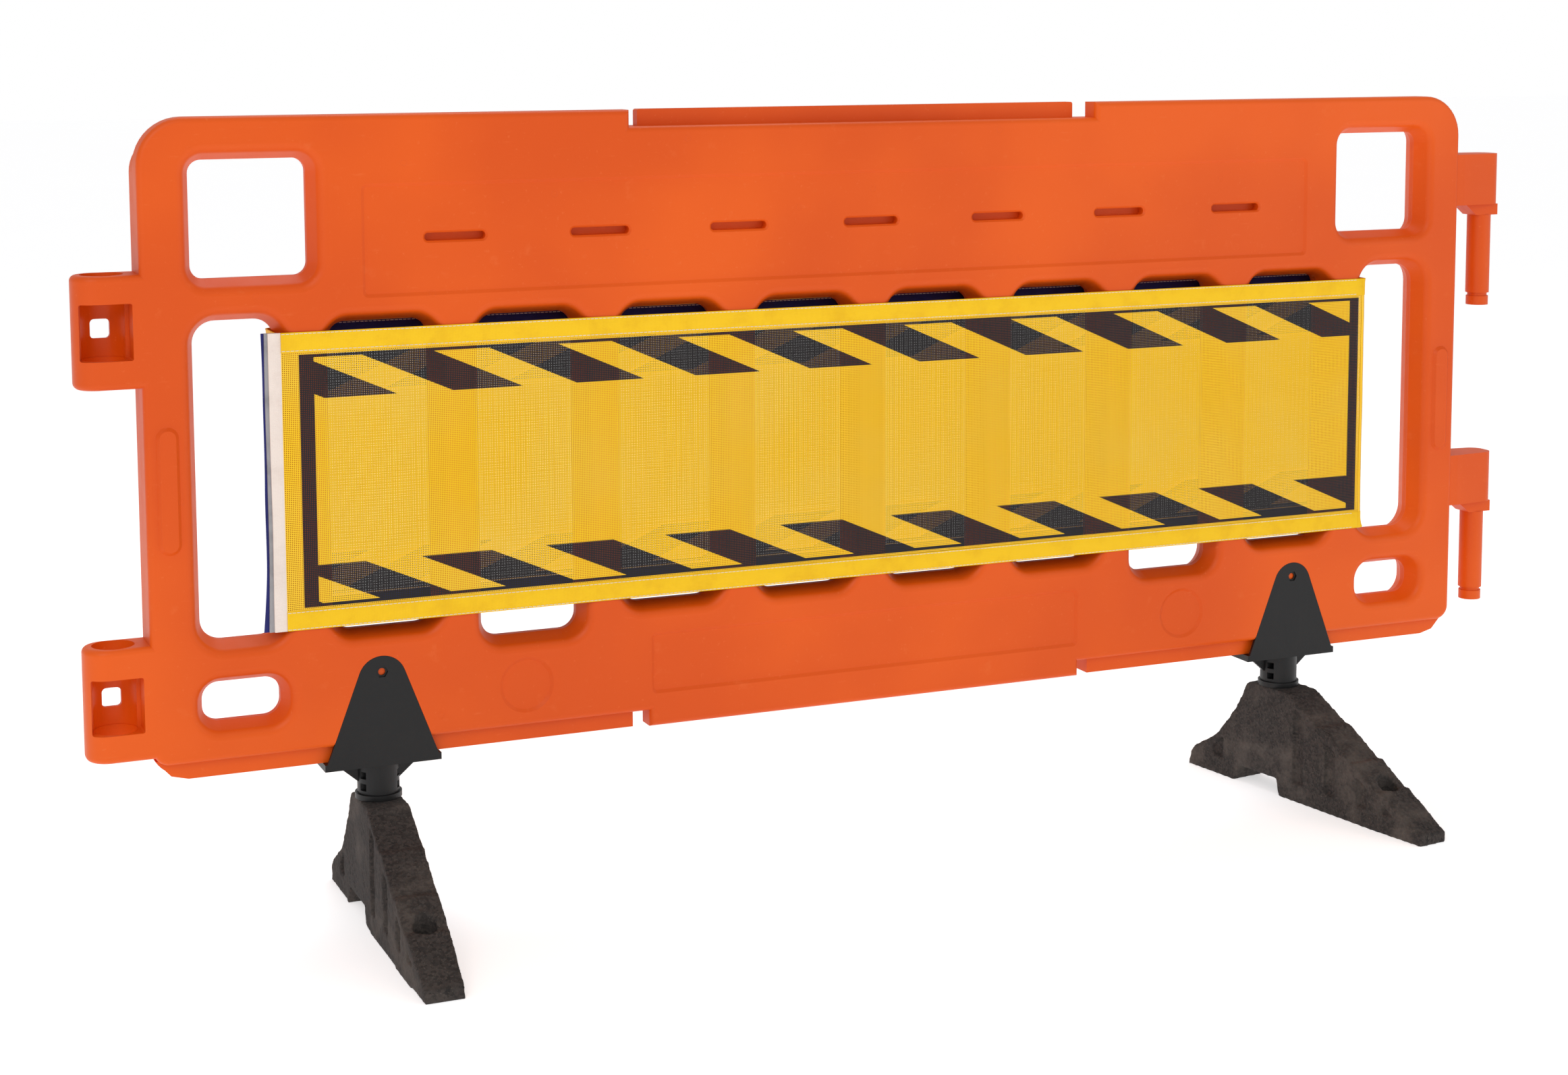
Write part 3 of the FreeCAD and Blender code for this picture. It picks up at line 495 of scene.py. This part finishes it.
def smooth(piece):
    pick(piece)
    bpy.ops.object.shade_smooth_by_angle(angle=math.radians(50))


def soften(piece, width, segments=2, angle=40):
    pick(piece)
    bpy.ops.object.mode_set(mode="OBJECT")
    limit = math.radians(angle)
    modify(piece, "BEVEL", width=width, segments=segments, limit_method="ANGLE", angle_limit=limit)
    smooth(piece)


def reshape(piece, rule):  # moves each vertex by hand to where rule puts it
    for vertex in piece.data.vertices:
        vertex.co = rule(vertex.co.copy())


def finishAs(piece, slot, *materials, body="barrier"):
    piece.data.materials.clear()
    for material in materials or (slot,):
        piece.data.materials.append(looks[material])
    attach(piece, body)
    return piece


def paintSide(piece, material, towards):  # the faces that look towards a direction get another material
    piece.data.materials.append(looks[material])
    for face in piece.data.polygons:
        if face.normal.dot(Vector(towards)) > 0.5:
            face.material_index = len(piece.data.materials) - 1


# Moulded parts that keep the CAD's shape
for name, look in (("barrier_panel", "orange_plastic"), ("foot_bracket_left", "black_plastic"),
                   ("foot_bracket_right", "black_plastic")):
    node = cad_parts[name]
    for slot in node.material_slots:
        slot.material = looks[look]
print("moulded parts finished")


# Rubber feet, cast from crumb
foot = {
    "voxel": 0.0022,
    "edgeMove": 0.0007,       # a point that smoothing moves this far lies on a sharp edge
    "chipScale": 62,
    "chipStart": 0.12,        # the noise above which an edge is chipped
    "chipGain": 2.2,
    "chip": 0.0028,
    "coarseScale": 130,
    "coarse": 0.0007,
    "fineScale": 420,
    "fine": 0.0003,
    "pivot": (0.665, 0.073),
    "socketKeep": 0.031,      # the socket inside this radius stays as it is
    "soleHeight": 0.002,      # and so does the sole
}


def rubberFoot(end, sign):
    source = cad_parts[f"rubber_foot_{end}"]
    piece = bpy.data.objects.new(f"crumbFoot_{end}", source.data.copy())
    scene.collection.objects.link(piece)
    choose(piece, "VERT", lambda vertex: True)
    bpy.ops.mesh.remove_doubles(threshold=0.00001)
    bpy.ops.object.mode_set(mode="OBJECT")
    modify(piece, "REMESH", mode="VOXEL", voxel_size=foot["voxel"])
    sharp = [vertex.co.copy() for vertex in piece.data.vertices]
    modify(piece, "SMOOTH", factor=0.5, iterations=2)
    axis = Vector((foot["pivot"][0] * sign, foot["pivot"][1]))
    moves = []
    for vertex, before in zip(piece.data.vertices, sharp):
        at, edge = vertex.co, min((vertex.co - before).length / foot["edgeMove"], 1)
        if (Vector(at[:2]) - axis).length < foot["socketKeep"]:
            moves.append(before)
            continue
        chips = max(0, noise.noise(at * foot["chipScale"]) - foot["chipStart"]) * edge
        chips = chips * foot["chip"] * foot["chipGain"]
        grain = noise.noise(at * foot["coarseScale"]) * foot["coarse"]
        grain += noise.noise(at * foot["fineScale"]) * foot["fine"]
        moved = at + vertex.normal * (grain - chips)
        moved.z = max(moved.z, 0) if at.z > foot["soleHeight"] else before.z
        moves.append(moved)
    for vertex, moved in zip(piece.data.vertices, moves):
        vertex.co = moved
    pick(piece)
    bpy.ops.object.shade_smooth()
    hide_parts(f"rubber_foot_{end}")
    return finishAs(piece, "recycled_rubber", body=f"foot_{end}")


for end, sign in (("left", -1), ("right", 1)):
    rubberFoot(end, sign)
print("feet cast")


cover = {
    "front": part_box("cover_front_mesh"),
    "frontLeft": -0.780,
    "turn": 0.008,          # radius where the cover goes round the edge of an end post
    "turnSteps": 6,
    "flatSteps": 5,
    "leftStart": 0.0475,    # where the left fold leaves the strips
    "rightPlane": 0.7825,
    "leftPlane": -0.7845,
    "cloth": 0.0005,
    "frontY": 0.0412,
    "backY": 0.1048,
    "hemLow": (0.380, 0.404),
    "hemHigh": (0.718, 0.742),
    "barPitch": 0.1873,
    "openingWidth": 0.1253,
    "sag": 0.0008,
    "sagMiddle": 0.561,
    "sagReach": 0.2,
    "backRise": 0.004,      # the back hangs a little higher than the front
    "waver": 0.0004,
    "hemThickness": 0.0017,
    "gridCuts": (190, 36),
    "foldRows": 40,
    "hemRows": 8,
}


def sag(x, z):  # how far the cloth leans into the opening behind it
    place = (x / cover["barPitch"] + 0.5) % 1 - 0.5
    reach = abs(0.5 - abs(place)) * cover["barPitch"] / (cover["openingWidth"] / 2)
    if abs(x) > 4 * cover["barPitch"] or reach > 1:
        return 0.0
    high = max(0.0, 1 - abs(z - cover["sagMiddle"]) / cover["sagReach"]) ** 0.5
    return cover["sag"] * math.cos(reach * math.pi / 2) ** 2 * high


def waver(x, z):
    return noise.noise(Vector((x * 5, 3.1, z * 7))) * cover["waver"]


def flatSheet(name, left, right, low, high, y, facing, cuts):
    pickNothing()
    bpy.ops.mesh.primitive_grid_add(
        x_subdivisions=cuts[0], y_subdivisions=cuts[1], size=1,
        location=((left + right) / 2, y, (low + high) / 2), rotation=(facing * math.pi / 2, 0, 0))
    piece = bpy.context.object
    piece.scale = (right - left, high - low, 1)
    settle(piece, name)
    reshape(piece, lambda at: at + Vector((0, facing * sag(at.x, at.z) + waver(at.x, at.z), 0)))
    return piece


def makeSheets():
    low, high = cover["hemLow"][1], cover["hemHigh"][0]
    left, right = cover["front"][0].x, cover["rightPlane"] - cover["turn"]
    front = flatSheet("coverFrontSheet", left, right, low, high, cover["frontY"], 1, cover["gridCuts"])
    modify(front, "SOLIDIFY", thickness=cover["cloth"], offset=-1, material_offset=1)
    finishAs(front, "yellow_mesh", "yellow_mesh", "paleFront")
    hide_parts("cover_front_mesh")
    backLeft, backHigh = cover["leftPlane"] + cover["turn"], high + cover["backRise"]
    back = flatSheet("coverBackSheet", backLeft, right, low, backHigh, cover["backY"], -1, cover["gridCuts"])
    modify(back, "SOLIDIFY", thickness=cover["cloth"], offset=-1, material_offset=1)
    finishAs(back, "pale_mesh", "printedBack", "pale_mesh")
    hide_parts("cover_back_mesh")
    return front, back, {"front": (right - left, high - low), "back": (right - backLeft, backHigh - low)}


# The way round an end post, as points (x, y) from front to back; push moves the middle outwards
def wayRound(plane, outwards, startsAtFront, push):
    turn, front, back = cover["turn"], cover["frontY"], cover["backY"]
    turnSteps, flatSteps = cover["turnSteps"], cover["flatSteps"]
    way = []
    if startsAtFront:
        for step in range(turnSteps + 1):
            angle = math.pi / 2 * step / turnSteps
            inwards, behind = turn * (1 - math.sin(angle)), turn * (1 - math.cos(angle))
            way.append((plane - outwards * inwards, front + behind))
    else:
        way.append((plane, cover["leftStart"]))
    for step in range(1, flatSteps + 1):
        y = way[-1][1] + (back - turn - way[-1][1]) * step / flatSteps
        way.append((plane, y))
    for step in range(1, turnSteps + 1):
        angle = math.pi / 2 * step / turnSteps
        way.append((plane - outwards * turn * (1 - math.cos(angle)), back - turn * (1 - math.sin(angle))))
    middle, half = (front + back) / 2, (back - front) / 2
    return [(x + outwards * push * max(0.0, 1 - ((y - middle) / half) ** 2) ** 0.5, y) for x, y in way]


endSlot = {"radius": 0.027, "low": 0.372, "high": 0.758, "slack": 0.0003}


def slotCorner(z):  # how far the rounded corner of the end slot pushes the cover out at this height
    radius = endSlot["radius"]
    past = max(endSlot["low"] + radius - z, z - (endSlot["high"] - radius), 0)
    return max(0.0, radius - math.sqrt(max(radius ** 2 - past ** 2, 0)) - endSlot["slack"])


def wrap(name, plane, outwards, startsAtFront, low, high, rows, thickness):
    points = len(wayRound(plane, outwards, startsAtFront, 0))
    pickNothing()
    bpy.ops.mesh.primitive_grid_add(x_subdivisions=points - 1, y_subdivisions=rows, size=1)
    piece = settle(bpy.context.object, name)

    def follow(at):
        z = low + (high - low) * (at.y + 0.5)
        x, y = wayRound(plane, outwards, startsAtFront, slotCorner(z))[round((at.x + 0.5) * (points - 1))]
        ripple = noise.noise(Vector((z * 22, y * 30, 1.7))) * 0.0006
        return Vector((x + outwards * max(ripple, -0.0002), y, z))

    reshape(piece, follow)
    choose(piece, "FACE", lambda face: True)
    if outwards < 0:
        bpy.ops.mesh.flip_normals()
    bpy.ops.object.mode_set(mode="OBJECT")
    modify(piece, "SOLIDIFY", thickness=thickness, offset=0, material_offset=1)
    smooth(piece)
    way = wayRound(plane, outwards, startsAtFront, 0)
    return piece, sum(math.dist(a, b) for a, b in zip(way, way[1:]))


def makeWraps():
    low, high = cover["hemLow"][1], cover["hemHigh"][0]
    made = {}
    ends = (("Right", cover["rightPlane"], 1, True), ("Left", cover["leftPlane"], -1, False))
    for side, plane, outwards, whole in ends:
        piece, length = wrap(
            f"cover{side}Wrap", plane, outwards, whole, low, high, cover["foldRows"], cover["cloth"])
        finishAs(piece, "yellow_mesh", "foldMeshOuter", "foldMesh")
        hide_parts(f"cover_{side.lower()}_fold")
        made[side] = (piece, length)
        for edge, heights in (("Low", cover["hemLow"]), ("High", cover["hemHigh"])):
            tape, _ = wrap(
                f"cover{side}Wrap{edge}Hem", plane, outwards, whole, *heights, cover["hemRows"],
                cover["hemThickness"])
            finishAs(tape, "yellow_tape", "yellow_tape", "navy_tape")
            soften(tape, 0.0005)
    return made


hem = {"cuts": 150, "bevel": 0.0006, "waver": 0.0005}


def hemWaver(at):
    return Vector((0, waver(at.x, at.z), noise.noise(Vector((at.x * 3.2, at.y * 40, 7.7))) * hem["waver"]))


def makeHem(name, node, left, right, inwards, rise=0.0):
    low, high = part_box(node)
    piece = block(name, (left, low.y, low.z + rise), (right, high.y, high.z + rise))
    choose(piece, "EDGE", lambda edge: abs(edge.verts[0].co.x - edge.verts[1].co.x) > 0.5)
    bpy.ops.mesh.subdivide(number_cuts=hem["cuts"])
    bpy.ops.object.mode_set(mode="OBJECT")
    soften(piece, hem["bevel"])
    reshape(piece, lambda at: at + hemWaver(at))
    finishAs(piece, "yellow_tape")
    paintSide(piece, "navy_tape", (0, inwards, 0))
    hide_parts(node)
    return piece


stitch = {
    "pitch": 0.0054,
    "length": 0.0037,
    "radius": 0.00042,
    "inset": 0.0018,
    "front": 0.0399,       # faces that the threads lie on
    "backOuter": 0.1061,
    "backInner": 0.1039,
}


def makeStitches(name, left, right, y, heights):
    rows = []
    for row, z in enumerate(heights):
        pickNothing()
        bpy.ops.mesh.primitive_cylinder_add(
            vertices=6, radius=stitch["radius"], depth=stitch["length"],
            location=(left + stitch["pitch"] / 2, y, z), rotation=(0, math.pi / 2, 0))
        piece = settle(bpy.context.object, f"{name}{row}")
        choose(piece, "FACE", lambda face: abs(face.normal.x) > 0.9)
        bpy.ops.mesh.inset(thickness=stitch["radius"] * 0.45, depth=stitch["radius"] * 0.6)
        bpy.ops.object.mode_set(mode="OBJECT")
        count = int((right - left) / stitch["pitch"]) - 1
        modify(piece, "ARRAY", count=count, use_relative_offset=False, use_constant_offset=True,
               constant_offset_displace=(stitch["pitch"], 0, 0))
        rows.append(piece)
    pickNothing()
    for piece in rows:
        piece.select_set(True)
    bpy.context.view_layer.objects.active = rows[0]
    bpy.ops.object.join()
    joined = rows[0]
    joined.name = joined.data.name = name
    reshape(joined, lambda at: at + hemWaver(at))
    smooth(joined)
    return finishAs(joined, "white_strip", "thread")


closure = {"cuts": 70, "bevel": 0.0004, "flareHeight": 0.09}

strips = {
    "cream": {"node": "cover_loop_strip", "look": "white_strip", "lean": 0.0010, "bottom": 0.0},
    "grey": {"node": "cover_hook_strip", "look": "grey_strip", "lean": 0.0014, "bottom": -0.0022},
    "navy": {"node": "cover_edge_binding", "look": "navy_tape", "lean": 0.0022, "bottom": -0.0040},
}


def makeClosure():
    made = []
    for name, strip in strips.items():
        low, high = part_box(strip["node"])
        piece = block(f"coverStrip_{name}", low, high)
        choose(piece, "EDGE", lambda edge: abs(edge.verts[0].co.z - edge.verts[1].co.z) > 0.2)
        bpy.ops.mesh.subdivide(number_cuts=closure["cuts"])
        bpy.ops.object.mode_set(mode="OBJECT")
        soften(piece, closure["bevel"])

        def lean(at):
            free = (high.x - at.x) / (high.x - low.x)  # the sewn edge stays, the free edge wanders
            drop = max(0.0, 1 - (at.z - low.z) / closure["flareHeight"]) ** 2 * strip["bottom"]
            sway = noise.noise(Vector((2.3 + strip["lean"] * 900, 0, at.z * 9))) * strip["lean"]
            return at + Vector(((sway + drop) * free, 0, 0))

        reshape(piece, lean)
        finishAs(piece, strip["look"])
        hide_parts(strip["node"])
        made.append(piece)
    return made


frontSheet, backSheet, sheetSizes = makeSheets()
wraps = makeWraps()
print("sheets and wraps made")

frontLeft, backLeft = cover["frontLeft"], cover["leftPlane"] + cover["turn"]
hemRight = cover["rightPlane"] - cover["turn"]
hems = {
    "front": [makeHem(f"coverFrontHem_{edge}", f"cover_front_hem_{edge}", frontLeft, hemRight, 1)
              for edge in ("top", "bottom")],
    "back": [makeHem(f"coverBackHem_{edge}", f"cover_back_hem_{edge}", backLeft, hemRight, -1, rise)
             for edge, rise in (("top", cover["backRise"]), ("bottom", 0.0))],
}
seams = {"front": [], "back": []}
for (low, high), rise in ((cover["hemLow"], 0.0), (cover["hemHigh"], cover["backRise"])):
    for height in (low + stitch["inset"], high - stitch["inset"]):
        seams["front"].append(height)
        seams["back"].append(height + rise)
stitches = {
    "front": makeStitches("stitchesFront", frontLeft, hemRight, stitch["front"], seams["front"]),
    "backOuter": makeStitches("stitchesBackOuter", backLeft, hemRight, stitch["backOuter"], seams["back"]),
    "backInner": makeStitches("stitchesBackInner", backLeft, hemRight, stitch["backInner"], seams["back"]),
}
sewnStrips = makeClosure()
print("hems, stitches and closure made")


def makeFloor():
    pickNothing()
    bpy.ops.mesh.primitive_plane_add(size=room["floorSize"])
    floor = settle(bpy.context.object, "floor")
    glow = room["floorGlow"]
    finish = Finish("floorPaint", Specular_IOR_Level=0.1, Emission_Strength=glow, Emission_Color=(1, 1, 1, 1))
    cloud = finish.grain(finish.place(), 0.7)
    shade = finish.mix(cloud * 0.2, colour(*room["floor"]), colour(*room["floorPale"]))
    finish.feed(Base_Color=shade, Roughness=cloud * 0.05 + 0.85)
    floor.data.materials.append(finish.material)


makeFloor()
print("floor laid")
